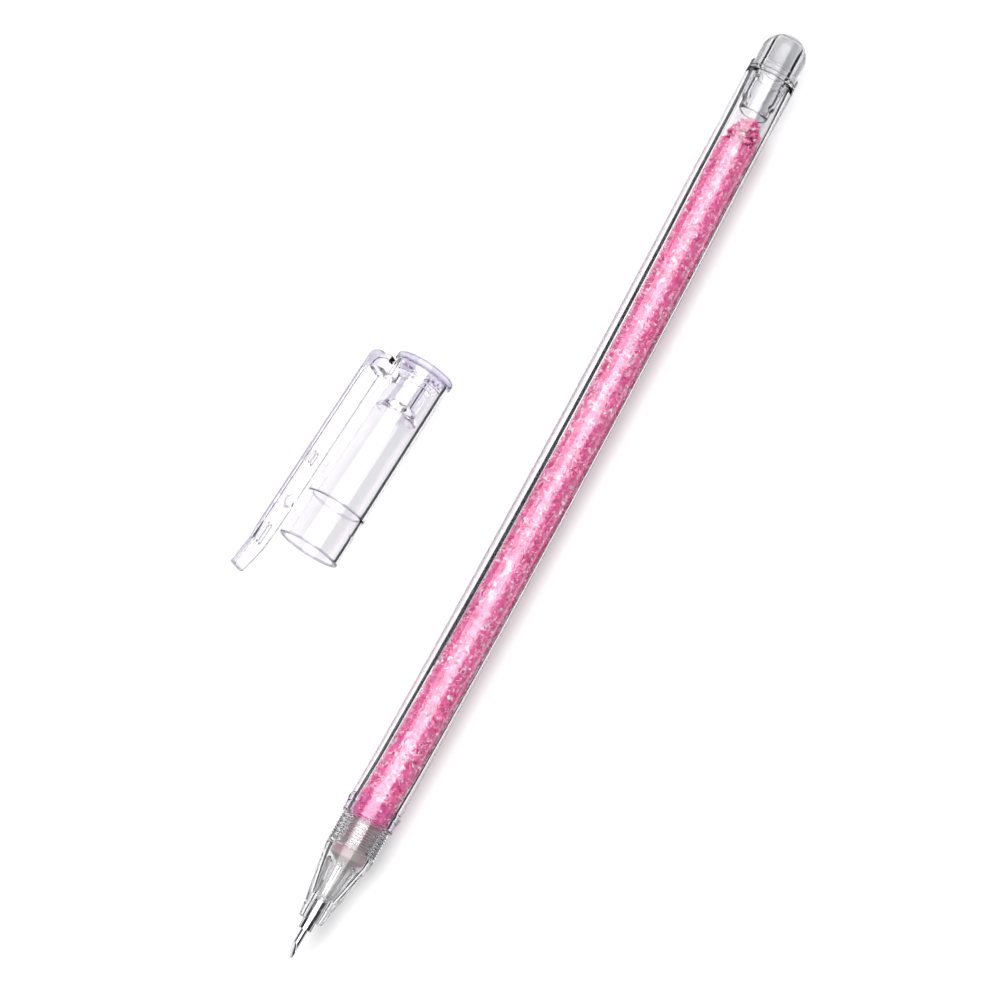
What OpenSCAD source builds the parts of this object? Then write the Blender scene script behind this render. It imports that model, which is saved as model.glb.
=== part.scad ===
// Clear pen body packed with coloured crystals, with a bevelled steel point and a loose cap.
// The pen lies along X with its point towards -X, the cap lies beside it on the +Y side, +Z is up.
// The origin is on the barrel's axis, at the back of the bead that stops the cap.
// Millimetres. Stations along the pen are measured from the needle's point.

/* [Barrel] */
// overall length of the pen without its cap
pen_len = 150; // [120:1:180]
// outside diameter of the barrel
barrel_d = 7.6; // [6:0.1:12]
// bore of the barrel, which holds the crystals
barrel_bore_d = 5.65; // [4:0.05:10]
// station of the barrel's open tail end
barrel_end = 142.4; // [110:0.1:160]
// station of the back of the cap stop bead
bead_back = 23.8; // [15:0.1:40]
// diameter of the cap stop bead
bead_d = 8.0; // [6.5:0.1:13]
// width of the cap stop bead
bead_w = 1.05; // [0.5:0.05:3]
// diameter of the plain ring that the cap grips
ring_d = 7.7; // [6:0.1:12.5]
// width of the plain ring
ring_w = 1.5; // [0.8:0.1:4]

/* [Thread] */
// pitch of the thread on the barrel's neck
thread_pitch = 0.8; // [0.4:0.05:1.5]
// number of turns of thread
thread_turns = 5; // [2:1:8]
// diameter over the thread's crests
crest_d = 6.6; // [5:0.1:10]
// diameter at the thread's roots
root_d = 6.1; // [4.5:0.1:9.5]
// station of the neck's front end
neck_front = 16.9; // [10:0.1:30]

/* [Nose cone] */
// station of the cone's front face
cone_front = 5.7; // [3:0.1:15]
// diameter of the cone's front face
cone_front_d = 3.5; // [2.5:0.1:6]
// station where the plain front band ends
band_end = 7.7; // [5:0.1:18]
// diameter of the plain front band's back edge
band_d = 4.0; // [3:0.1:7]
// station where the cone meets its skirt
skirt_front = 16.4; // [12:0.1:28]
// outside diameter of the skirt
skirt_d = 7.2; // [5.5:0.1:11]
// station of the skirt's back end
skirt_back = 20.9; // [16:0.1:32]
// number of ribs inside the cone
rib_count = 8; // [3:1:16]

/* [Point] */
// diameter of the steel needle
needle_d = 1.0; // [0.5:0.05:2]
// length of the slanting cut at the needle's point
bevel_len = 2.3; // [1:0.1:5]
// how far the slanting cut is turned up from facing +Y, in degrees
bevel_turn = 60; // [0:5:180]
// station of the ferrule's front end
ferrule_front = 4.15; // [2:0.05:10]
// station of the ferrule's back end
ferrule_back = 8.75; // [6:0.05:16]
// diameter of the ferrule
ferrule_d = 2.0; // [1.2:0.1:4]
// diameter of the tip holder's stem
stem_d = 1.85; // [1.2:0.05:4]
// station where the stem starts to widen
stem_back = 14.2; // [9:0.1:24]
// diameter of the tip holder's plug
holder_d = 5.0; // [3:0.1:8]
// station of the holder's back end, where the crystals start
holder_back = 20.7; // [14:0.1:32]

/* [Crystals] */
// station of the short side of the crystals' sloping end
heap_short = 133.4; // [60:0.5:150]
// station of the long side of the crystals' sloping end
heap_long = 136.0; // [60:0.5:150]
// edge of a loose crystal that has worked into the nose
crumb_edge = 0.4; // [0.2:0.05:1]

/* [Tail plug] */
// station of the plug's inner end
plug_front = 136.6; // [100:0.1:155]
// diameter of the plug's slim lead-in
plug_lead_d = 4.6; // [3:0.1:7.5]
// station where the slim lead-in ends
plug_lead_back = 138; // [101:0.1:156]
// diameter of the plug's stem
plug_stem_d = 5.24; // [3:0.02:8]
// station where the plug's grip band starts
plug_grip_front = 140.9; // [105:0.1:158]
// diameter of the flange
plug_flange_d = 7.5; // [6:0.1:12]
// station of the flange's back
plug_flange_back = 144.2; // [112:0.1:165]
// diameter of the domed end
dome_d = 6.85; // [5:0.05:11]
// diameter of the blind hollow in the plug
plug_hollow_d = 3.7; // [1.5:0.1:6]
// wall left between the hollow and the dome's top
dome_wall = 1.3; // [0.4:0.1:3]

/* [Cap] */
// length of the cap's tube, from its mouth to the end disc
cap_len = 29.7; // [20:0.1:60]
// outside diameter at the mouth
cap_mouth_d = 9.3; // [8:0.1:15]
// outside diameter beside the end disc
cap_end_d = 8.6; // [7:0.1:15]
// bore at the mouth
cap_mouth_bore_d = 7.86; // [6:0.02:13]
// bore just past the step
cap_bore_d = 7.6; // [6:0.1:13]
// bore at the closed end
cap_end_bore_d = 7.0; // [5:0.1:12]
// depth of the step inside the cap
cap_step = 7.15; // [3:0.05:15]
// depth of the faint ring inside the mouth
snap_depth = 4.6; // [2:0.1:12]
// diameter of the end disc
disc_d = 9.05; // [8:0.05:15]
// thickness of the end disc at its edge
disc_t = 1.15; // [0.5:0.05:3]
// outside diameter of the socket that covers the needle's point
socket_d = 4.7; // [3:0.1:6]
// bore of the socket
socket_bore_d = 2.1; // [1.2:0.1:4]
// length of the socket
socket_len = 5.5; // [2:0.1:12]
// length of the flare at the socket's mouth
flare_len = 1.7; // [0.5:0.1:4]
// outside diameter of the flare's mouth
flare_d = 6.5; // [3:0.1:8]

/* [Clip] */
// width of the clip
clip_w = 4.6; // [2:0.1:8]
// thickness of the clip
clip_t = 1.0; // [0.5:0.05:2]
// distance from the cap's axis to the clip's outer face
clip_reach = 7.84; // [6:0.02:14]
// how far the clip runs past the cap's mouth
clip_past = 6.95; // [0:0.05:12]
// width of the clip at its tip
clip_tip_w = 3.2; // [1:0.1:6]
// length over which the clip narrows to its tip
clip_taper = 7.4; // [2:0.1:15]
// how far the tip bends away from the cap
tip_bend = 0.7; // [0:0.05:2]
// length of the bent part
tip_bend_len = 4.3; // [1:0.1:8]
// length of the web that joins the clip to the cap
web_len = 2.5; // [1:0.1:6]
// radius of the corner over the web
clip_corner = 1.2; // [0.3:0.1:3]
// distance from the clip's tip to the nub on its inner face
nub_from_tip = 11.75; // [3:0.05:20]
// height of the nub
nub_h = 1.5; // [0.5:0.1:3]
// height of the raised bars on the clip's face, which come in two pairs
bar_h = 0.15; // [0.05:0.05:0.5]
// width of each bar
bar_w = 0.65; // [0.3:0.05:1.5]
// distance between the middles of the two bars of a pair
bars_apart = 1.0; // [0.5:0.05:2]
// distance from the clip's tip to the front pair
front_bars_at = 4.55; // [1:0.05:15]
// length of the front pair
front_bars_len = 3.1; // [0.5:0.1:8]
// distance from the clip's tip to the rear pair
rear_bars_at = 17.85; // [10:0.05:30]
// length of the rear pair
rear_bars_len = 1.9; // [0.5:0.1:8]

/* [Where the cap lies] */
// station of the cap's mouth
cap_station = 50.9; // [40:0.1:120]
// distance from the pen's axis to the middle of the mouth
cap_beside = 25.35; // [12:0.05:60]
// how far the cap is turned out of line with the pen, in degrees
cap_turn = -4.13; // [-20:0.01:20]
// how far the clip droops below level until it touches the table, in degrees
clip_droop = 18.33; // [0:0.01:30]

/* [Hidden] */
$fn = 64;
running = 0.05;
barrel_r = barrel_d / 2;
bore_r = barrel_bore_d / 2;
ring_front = bead_back - bead_w - ring_w;
neck_step = 0.35;
thread_front = neck_front + 0.2;
table_z = -bead_d / 2;
cap_axis_z = table_z + cap_mouth_d / 2;
clip_in = clip_reach - clip_t;
clip_end = cap_len;
cap_gap = 0.06;
dome_r = dome_d / 2;
dome_centre = pen_len - dome_r;

// which sub-part to show

// a body turned about the pen's axis, from [radius, station] points
module turned(points) {
  translate([-bead_back, 0, 0])
    rotate([0, 90, 0])
      rotate_extrude()
        polygon(points);
}

// a straight rod on the pen's axis, between two stations
module rod(d, from, to) {
  translate([from - bead_back, 0, 0])
    rotate([0, 90, 0])
      cylinder(d = d, h = to - from);
}

// a body turned about the cap's axis, from [radius, depth] points
module cap_turned(points) {
  rotate([0, 90, 0])
    rotate_extrude()
      polygon(points);
}

// puts the cap, drawn with its mouth at the origin and its clip towards +Y, on the table
module cap_lies() {
  translate([cap_station - bead_back, cap_beside, cap_axis_z])
    rotate([0, 0, cap_turn])
      rotate([-clip_droop, 0, 0])
        children();
}

// barrel, cap ring, stop bead and threaded neck in one moulding
module barrel() {
  neck_r = root_d / 2;
  bead_round = bead_w / 2;
  color([0.93, 0.91, 0.95, 0.35])
    difference() {
      union() {
        rod(barrel_d, bead_back - bead_w, barrel_end);
        turned([[0, ring_front], [ring_d / 2 - 0.1, ring_front], [ring_d / 2, ring_front + 0.1],
                [ring_d / 2, ring_front + ring_w], [0, ring_front + ring_w]]);
        stop_bead(bead_round);
        rod(root_d, neck_front, ring_front);
        for (i = [0 : thread_turns - 1])
          thread_ridge(thread_front + i * thread_pitch, neck_r);
      }
      rod(barrel_bore_d, holder_back, barrel_end + 1);
      rod(holder_d, neck_front - 1, holder_back);
      turned([[0, barrel_end - 0.3], [bore_r, barrel_end - 0.3], [bore_r + 0.3, barrel_end],
              [bore_r + 0.3, barrel_end + 1], [0, barrel_end + 1]]);
    }
}

// the rounded ring that stops the cap
module stop_bead(bead_round) {
  translate([-bead_w / 2, 0, 0])
    rotate([0, 90, 0])
      rotate_extrude() {
        translate([bead_d / 2 - bead_round, 0])
          circle(r = bead_round);
        translate([bead_d / 2 - 2 * bead_round, -bead_w / 2])
          square([bead_round, bead_w]);
      }
}

// one turn of the neck's thread, as a ring
module thread_ridge(at, neck_r) {
  flank = (crest_d - root_d) / 2;
  crest_w = 0.12;
  turned([[neck_r - 0.1, at], [neck_r, at], [neck_r + flank, at + flank / 2],
          [neck_r + flank, at + flank / 2 + crest_w], [neck_r, at + flank + crest_w],
          [neck_r - 0.1, at + flank + crest_w]]);
}

// the packed crystals as one column with a sloping top
module crystal_fill() {
  slope = atan((heap_long - heap_short) / barrel_bore_d);
  block = 3 * barrel_bore_d;
  color([0.85, 0.38, 0.62])
    difference() {
      rod(barrel_bore_d - 2 * running, holder_back + running, heap_long);
      translate([(heap_short + heap_long) / 2 - bead_back, 0, 0])
        rotate([0, 0, slope])
          translate([0, -block / 2, -block / 2])
            cube([block, block, block]);
    }
}

// translucent stem that carries the ferrule and plugs the barrel's neck
module tip_holder() {
  shoulder = stem_back + 1;
  needle_seat = ferrule_back + 2;
  color([0.78, 0.76, 0.77, 0.8])
    difference() {
      turned([[0, ferrule_back], [stem_d / 2, ferrule_back], [stem_d / 2, stem_back],
              [holder_d / 2 - 0.15, shoulder], [holder_d / 2, shoulder + 0.3],
              [holder_d / 2, holder_back], [0, holder_back]]);
      rod(needle_d, ferrule_back - 1, needle_seat);
    }
}

// bright ferrule round the needle
module ferrule() {
  edge = 0.12;
  color([0.82, 0.82, 0.84])
    difference() {
      turned([[0, ferrule_front], [ferrule_d / 2 - edge, ferrule_front],
              [ferrule_d / 2, ferrule_front + edge], [ferrule_d / 2, ferrule_back],
              [0, ferrule_back]]);
      rod(needle_d, ferrule_front - 1, ferrule_back + 1);
    }
}

// steel needle with a slanting cut that leaves its point near one side
module needle() {
  lean = atan(needle_d / bevel_len);
  cutter = 3 * bevel_len;
  color([0.62, 0.62, 0.65])
    difference() {
      rod(needle_d, 0, ferrule_back + 2);
      rotate([bevel_turn, 0, 0])
        translate([-bead_back, -needle_d / 2, 0])
          rotate([0, 0, lean])
            translate([-cutter / 2, 0, -cutter / 2])
              cube([cutter, cutter, cutter]);
    }
}

// clear cone that screws onto the neck
module nose_cone() {
  bore = ferrule_d / 2 + running;
  cavity_front = ferrule_back + 0.5;
  cavity_back = stem_back + 1.2;
  thread_bore = crest_d / 2 + 0.06;
  color([0.95, 0.95, 0.96, 0.35]) {
    difference() {
      turned([[0, cone_front], [cone_front_d / 2 - 0.15, cone_front],
              [cone_front_d / 2, cone_front + 0.15], [band_d / 2, band_end],
              [band_d / 2 - 0.1, band_end], [band_d / 2 + 0.1, band_end + 0.6],
              [skirt_d / 2 - 0.08, skirt_front], [skirt_d / 2, skirt_front + 0.3],
              [skirt_d / 2, skirt_back], [0, skirt_back]]);
      rod(2 * bore, cone_front - 1, cavity_front + 1);
      turned([[0, cavity_front], [bore + 0.35, cavity_front],
              [holder_d / 2 - 0.35, cavity_back - 0.9], [holder_d / 2 + 0.12, cavity_back - 0.15],
              [holder_d / 2 + 0.12, neck_front - 0.25], [thread_bore, neck_front - 0.25],
              [thread_bore, skirt_back + 1], [0, skirt_back + 1]]);
    }
    for (i = [0 : rib_count - 1])
      cone_rib(i * 360 / rib_count, cavity_front, cavity_back, bore);
  }
}

// one of the ribs that centre the stem inside the cone
module cone_rib(turn, cavity_front, cavity_back, bore) {
  rib_t = 0.3;
  rib_front = cavity_front + 0.2;
  rib_back = cavity_back - 1.6;
  translate([-bead_back, 0, 0])
    rotate([turn, 0, 0])
      translate([0, 0, -rib_t / 2])
        linear_extrude(rib_t)
          polygon([[rib_front, bore + 0.15], [rib_back, bore + 0.35],
                   [rib_back, holder_d / 2 - 0.2], [rib_front, bore + 0.55]]);
}

// crystals that have worked forward into the nose
module stray_crystals() {
  color([0.86, 0.4, 0.62]) {
    crumb(13.3, 1.45, 24, 67.5);
    crumb(12.0, 1.4, 30, 202.5);
    crumb(14.3, 1.5, 36, 292.5);
  }
}

// one small block, at a station, a distance from the axis and an angle round it
module crumb(station, reach, spin, turn) {
  translate([station - bead_back, 0, 0])
    rotate([turn, 0, 0])
      translate([0, reach, 0])
        rotate([spin, spin, spin])
          cube(crumb_edge, center = true);
}

// domed plug that closes the tail
module tail_plug() {
  grip_r = bore_r - running;
  nose_round = 0.35;
  stem_slope = 0.4;
  grip_slope = 0.6;
  flange_r = plug_flange_d / 2;
  hollow_end = pen_len - dome_wall;
  hollow_corner = 0.25;
  color([0.9, 0.9, 0.91, 0.45])
    difference() {
      union() {
        turned([[0, plug_front], [plug_lead_d / 2 - nose_round, plug_front],
                [plug_lead_d / 2, plug_front + nose_round], [plug_lead_d / 2, plug_lead_back],
                [plug_stem_d / 2, plug_lead_back + stem_slope], [plug_stem_d / 2, plug_grip_front],
                [grip_r, plug_grip_front + grip_slope], [grip_r, barrel_end + running],
                [flange_r - 0.1, barrel_end + running], [flange_r, barrel_end + running + 0.1],
                [flange_r, plug_flange_back - 0.15], [flange_r - 0.15, plug_flange_back],
                [0, plug_flange_back]]);
        rod(dome_d, plug_flange_back - 0.1, dome_centre);
        translate([dome_centre - bead_back, 0, 0])
          sphere(d = dome_d);
      }
      turned([[0, plug_front - 1], [plug_hollow_d / 2, plug_front - 1],
              [plug_hollow_d / 2, hollow_end - hollow_corner],
              [plug_hollow_d / 2 - hollow_corner, hollow_end], [0, hollow_end]]);
    }
}

// tube of the cap, with the step that its mouth bore ends at
module cap_shell() {
  mouth_r = cap_mouth_d / 2;
  mouth_bore_r = cap_mouth_bore_d / 2;
  snap_h = 0.04;
  color([0.93, 0.92, 0.96, 0.35])
    cap_lies()
      cap_turned([[mouth_bore_r, 0.12], [mouth_bore_r + 0.1, 0], [mouth_r - 0.15, 0],
                  [mouth_r, 0.15], [cap_end_d / 2, cap_len], [cap_end_bore_d / 2, cap_len],
                  [cap_bore_d / 2, cap_step + 0.1], [mouth_bore_r, cap_step],
                  [mouth_bore_r, snap_depth + 0.2], [mouth_bore_r - snap_h, snap_depth],
                  [mouth_bore_r, snap_depth - 0.2]]);
}

// end disc of the cap, with its spigot and the socket for the needle's point
module cap_end_plug() {
  spigot_r = cap_end_bore_d / 2;
  spigot_len = 1.4;
  disc_r = disc_d / 2;
  socket_front = cap_len - socket_len - flare_len;
  flare_wall = 0.5;
  color([0.8, 0.79, 0.88, 0.6])
    cap_lies()
      difference() {
        union() {
          cap_turned([[0, cap_len], [disc_r - 0.15, cap_len], [disc_r, cap_len + 0.15],
                      [disc_r, cap_len + disc_t - 0.35], [disc_r - 0.35, cap_len + disc_t],
                      [disc_r - 1.6, cap_len + disc_t + 0.16], [0, cap_len + disc_t + 0.2]]);
          cap_turned([[0, cap_len - spigot_len], [spigot_r - 0.1, cap_len - spigot_len],
                      [spigot_r - 0.05, cap_len], [0, cap_len]]);
          cap_turned([[0, socket_front], [flare_d / 2, socket_front],
                      [socket_d / 2, socket_front + flare_len], [socket_d / 2, cap_len],
                      [0, cap_len]]);
        }
        cap_turned([[0, socket_front - 1], [flare_d / 2 - flare_wall, socket_front - 1],
                    [flare_d / 2 - flare_wall, socket_front],
                    [socket_bore_d / 2, socket_front + flare_len],
                    [socket_bore_d / 2, cap_len - 0.4], [0, cap_len - 0.4]]);
      }
}

// spring clip: bar, tapered tip, nub and the web at its root
module cap_clip() {
  web_r = cap_end_d / 2 + 0.12;
  web_front = clip_end - web_len;
  color([0.93, 0.92, 0.96, 0.35])
    cap_lies()
      difference() {
        union() {
          clip_bar();
          translate([web_front, 0, -clip_w / 2])
            cube([web_len, clip_in + clip_t / 2, clip_w]);
          clip_nub();
          clip_bars(front_bars_at, front_bars_len);
          clip_bars(rear_bars_at, rear_bars_len);
        }
        cap_turned([[0, -clip_past], [cap_mouth_d / 2 + cap_gap, -clip_past],
                    [cap_mouth_d / 2 + cap_gap, 0], [web_r, cap_len], [web_r, cap_len + 1],
                    [0, cap_len + 1]]);
        clip_corner_cut();
      }
}

// bar of the clip: its outline from outside, cut to its profile from the side
module clip_bar() {
  taper_back = clip_taper - clip_past;
  bend_back = tip_bend_len - clip_past;
  intersection() {
    translate([0, clip_in - 1, 0])
      rotate([-90, 0, 0])
        linear_extrude(clip_t + tip_bend + 2)
          polygon([[-clip_past, -clip_tip_w / 2], [taper_back, -clip_w / 2],
                   [clip_end, -clip_w / 2], [clip_end, clip_w / 2],
                   [taper_back, clip_w / 2], [-clip_past, clip_tip_w / 2]]);
    translate([0, 0, -clip_w])
      linear_extrude(2 * clip_w)
        polygon([[-clip_past, clip_in + tip_bend], [bend_back, clip_in], [clip_end + 1, clip_in],
                 [clip_end + 1, clip_reach], [bend_back, clip_reach],
                 [-clip_past, clip_reach + tip_bend]]);
  }
}

// nub that presses on the pocket's cloth
module clip_nub() {
  translate([nub_from_tip - clip_past, clip_in + 0.1, 0])
    rotate([90, 0, 0])
      cylinder(d1 = 2.4, d2 = 1.3, h = nub_h + 0.1);
}

// pair of low bars side by side on the clip's outer face
module clip_bars(from_tip, long) {
  for (side = [-1, 1])
    translate([from_tip - clip_past + bar_w / 2, clip_reach - 0.05, side * bars_apart / 2])
      rotate([-90, 0, 0])
        linear_extrude(bar_h + 0.05) {
          circle(d = bar_w);
          translate([0, -bar_w / 2])
            square([long - bar_w, bar_w]);
          translate([long - bar_w, 0])
            circle(d = bar_w);
        }
}

// rounds the outer corner over the web
module clip_corner_cut() {
  wide = clip_w + 2;
  translate([clip_end - clip_corner, clip_reach - clip_corner, -wide / 2])
    difference() {
      cube([2 * clip_corner, 2 * clip_corner, wide]);
      translate([0, 0, -1])
        cylinder(r = clip_corner, h = wide + 2);
    }
}

barrel();
crystal_fill();
tip_holder();
ferrule();
needle();
nose_cone();
stray_crystals();
tail_plug();
cap_shell();
cap_end_plug();
cap_clip();
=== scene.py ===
import math
import random

import bmesh
import bpy
from mathutils import Matrix, Vector


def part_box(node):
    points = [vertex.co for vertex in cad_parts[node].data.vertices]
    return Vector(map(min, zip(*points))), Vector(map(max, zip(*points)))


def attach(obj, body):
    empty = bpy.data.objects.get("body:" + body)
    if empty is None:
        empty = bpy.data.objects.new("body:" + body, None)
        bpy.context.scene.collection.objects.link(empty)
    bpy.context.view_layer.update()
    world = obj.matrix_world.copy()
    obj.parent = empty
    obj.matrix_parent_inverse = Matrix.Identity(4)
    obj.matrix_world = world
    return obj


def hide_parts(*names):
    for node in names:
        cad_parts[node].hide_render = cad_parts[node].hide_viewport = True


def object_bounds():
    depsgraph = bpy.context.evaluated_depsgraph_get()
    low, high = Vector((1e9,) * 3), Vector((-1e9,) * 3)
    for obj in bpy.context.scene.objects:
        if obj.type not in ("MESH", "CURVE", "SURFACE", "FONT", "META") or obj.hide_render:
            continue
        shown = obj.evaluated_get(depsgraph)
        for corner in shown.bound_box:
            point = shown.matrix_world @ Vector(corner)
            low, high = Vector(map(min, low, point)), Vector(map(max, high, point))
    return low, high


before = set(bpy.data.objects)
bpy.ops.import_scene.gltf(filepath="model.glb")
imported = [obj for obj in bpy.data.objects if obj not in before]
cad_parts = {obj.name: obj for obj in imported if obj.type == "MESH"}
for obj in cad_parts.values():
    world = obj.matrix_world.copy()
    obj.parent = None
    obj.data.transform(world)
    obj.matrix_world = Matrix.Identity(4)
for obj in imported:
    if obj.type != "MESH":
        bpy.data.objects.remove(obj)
cad_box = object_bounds()
MM = 0.001
TAU = 2 * math.pi


# ---------- where things are, read from the frame ----------

TIP_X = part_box("needle")[0].x / MM  # row x of station 0, in millimetres
TABLE_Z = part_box("barrel")[0].z / MM
BARREL_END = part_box("barrel")[1].x / MM - TIP_X
NECK_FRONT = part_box("barrel")[0].x / MM - TIP_X
HOLDER_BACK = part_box("tip_holder")[1].x / MM - TIP_X
FERRULE_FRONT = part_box("ferrule")[0].x / MM - TIP_X
FERRULE_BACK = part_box("ferrule")[1].x / MM - TIP_X
CONE_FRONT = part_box("nose_cone")[0].x / MM - TIP_X
SKIRT_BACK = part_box("nose_cone")[1].x / MM - TIP_X
PLUG_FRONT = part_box("tail_plug")[0].x / MM - TIP_X
PEN_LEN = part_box("tail_plug")[1].x / MM - TIP_X
HEAP_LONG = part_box("crystal_fill")[1].x / MM - TIP_X

BARREL_R, BARREL_WAIST = 3.8, 0.15  # the tube is this much slimmer at its middle than at its ends
BORE_R = 2.825
BEAD_BACK, BEAD_W, BEAD_R = -TIP_X, 1.05, 4.0
RING_FRONT, RING_R = BEAD_BACK - 2.55, 3.85
NOSE_LEAN = 0.017  # how far the nose end is off straight: millimetres sideways for each millimetre forwards
PEN_BOW = 0.62  # how far the slim pen has bent sideways at its middle, away from the cap
TAIL_LEAN, TAIL_LEAN_FROM = 0.012, 124.0  # the same for the tail, and the station where it starts
BORE_BOW = 0.47  # how far the bore's core leaned the same way when the barrel was moulded
THREAD_PITCH = 0.8
ROOT_R, CREST_R = 3.0, 3.3
HOLDER_R, NEEDLE_R = 2.5, 0.5
PLUG_RING, DOME_START = 143.05, 144.27

CAP_MOUTH_R = 4.65
CAP_AT = Vector((27.1, 25.35, TABLE_Z + CAP_MOUTH_R))  # the middle of the cap's mouth
CAP_TURN, CLIP_DROOP = -4.13, 18.33
CAP_LEN, CAP_STEP = 29.7, 7.15
CAP_REST = (
    Matrix.Translation(CAP_AT * MM)
    @ Matrix.Rotation(math.radians(CAP_TURN), 4, "Z")
    @ Matrix.Rotation(math.radians(-CLIP_DROOP), 4, "X")
)
PEN_REST = Matrix.Translation((TIP_X * MM, 0, 0))


# ---------- mesh helpers ----------


def bowed(ob):
    """Bends a piece sideways with the whole pen: the middle goes one way and the two ends the other."""
    for v in ob.data.vertices:
        station = v.co.x / MM - TIP_X
        u = station / PEN_LEN
        bow = PEN_BOW * (4 * u * (1 - u) - 0.5)
        tail = TAIL_LEAN * max(0.0, station - TAIL_LEAN_FROM)
        nose = NOSE_LEAN * max(0.0, NECK_FRONT + 1 - station)
        v.co.y -= (bow + tail - nose) * MM
    return ob


def mesh_object(name, verts, faces, place, sharp=38):
    me = bpy.data.meshes.new(name)
    me.from_pydata([(v[0] * MM, v[1] * MM, v[2] * MM) for v in verts], [], faces)
    along = me.attributes.new("along", "FLOAT", "POINT")
    along.data.foreach_set("value", [v[0] for v in verts])
    me.update()
    me.shade_smooth()
    me.set_sharp_from_angle(angle=math.radians(sharp))
    ob = bpy.data.objects.new(name, me)
    bpy.context.scene.collection.objects.link(ob)
    me.transform(place)
    return ob


def band_faces(a, b):
    """Quads between two rings with the same number of points."""
    following = range(1, len(a) + 1)
    return [(a[k], b[k], b[n % len(a)], a[n % len(a)]) for k, n in enumerate(following)]


def lathe(rows, seg, closed=True, middle=None):
    """Turns rows of (x, r) or (x, r(angle)) about X. closed joins the last row to the first.
    A row with r 0 is a pole. middle(x) gives the sideways place of the axis."""
    verts, faces, rings = [], [], []
    for x, r in rows:
        axis_y = middle(x) if middle else 0.0
        if not callable(r) and r <= 0:
            rings.append([len(verts)])
            verts.append((x, axis_y, 0.0))
            continue
        ring = []
        for k in range(seg):
            a = TAU * k / seg
            rr = r(a) if callable(r) else r
            ring.append(len(verts))
            verts.append((x, rr * math.cos(a) + axis_y, rr * math.sin(a)))
        rings.append(ring)
    pairs = list(zip(rings, rings[1:]))
    if closed:
        pairs.append((rings[-1], rings[0]))
    for a, b in pairs:
        if len(a) == 1 and len(b) == 1:
            continue
        if len(a) == 1:
            faces += [(a[0], b[k], b[(k + 1) % seg]) for k in range(seg)]
        elif len(b) == 1:
            faces += [(a[k], b[0], a[(k + 1) % seg]) for k in range(seg)]
        else:
            faces += band_faces(a, b)
    return verts, faces


def arc(cx, cr, rad, a0, a1, n):
    """Points (x, r) on a circle about (cx, cr), from a0 to a1 degrees: 0 is towards +x and 90 outwards."""
    out = []
    for i in range(n + 1):
        a = math.radians(a0 + (a1 - a0) * i / n)
        out.append((cx + rad * math.cos(a), cr + rad * math.sin(a)))
    return out


def line(x0, r0, x1, r1, n):
    """Points (x, r) on a straight line, in n steps."""
    return [(x0 + (x1 - x0) * i / n, r0 + (r1 - r0) * i / n) for i in range(n + 1)]


def outwards(ob):
    bm = bmesh.new()
    bm.from_mesh(ob.data)
    bmesh.ops.recalc_face_normals(bm, faces=bm.faces)
    bm.to_mesh(ob.data)
    bm.free()
    return ob


# ---------- materials ----------


def new_mat(name):
    m = bpy.data.materials.new(name)
    m.use_nodes = True
    nt = m.node_tree
    nt.nodes.clear()
    return m, nt, nt.nodes.new("ShaderNodeOutputMaterial")


def node(nt, kind, **values):
    n = nt.nodes.new(kind)
    for k, v in values.items():
        if k in n.inputs:
            n.inputs[k].default_value = v
        else:
            setattr(n, k, v)
    return n


def ramp(nt, source, stops):
    """Colours a 0 to 1 value: stops are (value, colour)."""
    r = nt.nodes.new("ShaderNodeValToRGB")
    el = r.color_ramp.elements
    while len(el) > 1:
        el.remove(el[-1])
    el[0].position, el[0].color = stops[0][0], (*stops[0][1], 1)
    for p, c in stops[1:]:
        e = el.new(p)
        e.color = (*c, 1)
    nt.links.new(source, r.inputs["Fac"])
    return r.outputs["Color"]


def spread(nt, source, lo, hi):
    """Maps a 0 to 1 value to lo to hi."""
    m = node(nt, "ShaderNodeMapRange")
    m.inputs["To Min"].default_value = lo
    m.inputs["To Max"].default_value = hi
    nt.links.new(source, m.inputs["Value"])
    return m.outputs["Result"]


def object_noise(nt, scale, detail, stretch=(1, 1, 1), rough=0.5):
    tc = node(nt, "ShaderNodeTexCoord")
    mp = node(nt, "ShaderNodeMapping")
    mp.inputs["Scale"].default_value = stretch
    nt.links.new(tc.outputs["Object"], mp.inputs["Vector"])
    no = node(nt, "ShaderNodeTexNoise")
    no.inputs["Scale"].default_value = scale
    no.inputs["Detail"].default_value = detail
    no.inputs["Roughness"].default_value = rough
    nt.links.new(mp.outputs["Vector"], no.inputs["Vector"])
    return no.outputs["Fac"]


def banded(nt, tint, start, end, stops):
    """Multiplies a tint by tones that follow the attribute "along": stops are (value, tone). The value is
    the place along the piece's own axis, in millimetres. On the clip it says how much painted edge shade a
    point carries."""
    at = node(nt, "ShaderNodeAttribute", attribute_name="along")
    where = node(nt, "ShaderNodeMapRange")
    where.inputs["From Min"].default_value = start
    where.inputs["From Max"].default_value = end
    nt.links.new(at.outputs["Fac"], where.inputs["Value"])
    tones = ramp(nt, where.outputs["Result"], [((x - start) / (end - start), c) for x, c in stops])
    both = node(nt, "ShaderNodeMix", data_type="RGBA", blend_type="MULTIPLY")
    both.inputs["Factor"].default_value = 1.0
    nt.links.new(tint, both.inputs["A"])
    nt.links.new(tones, both.inputs["B"])
    return both.outputs["Result"]


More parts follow.
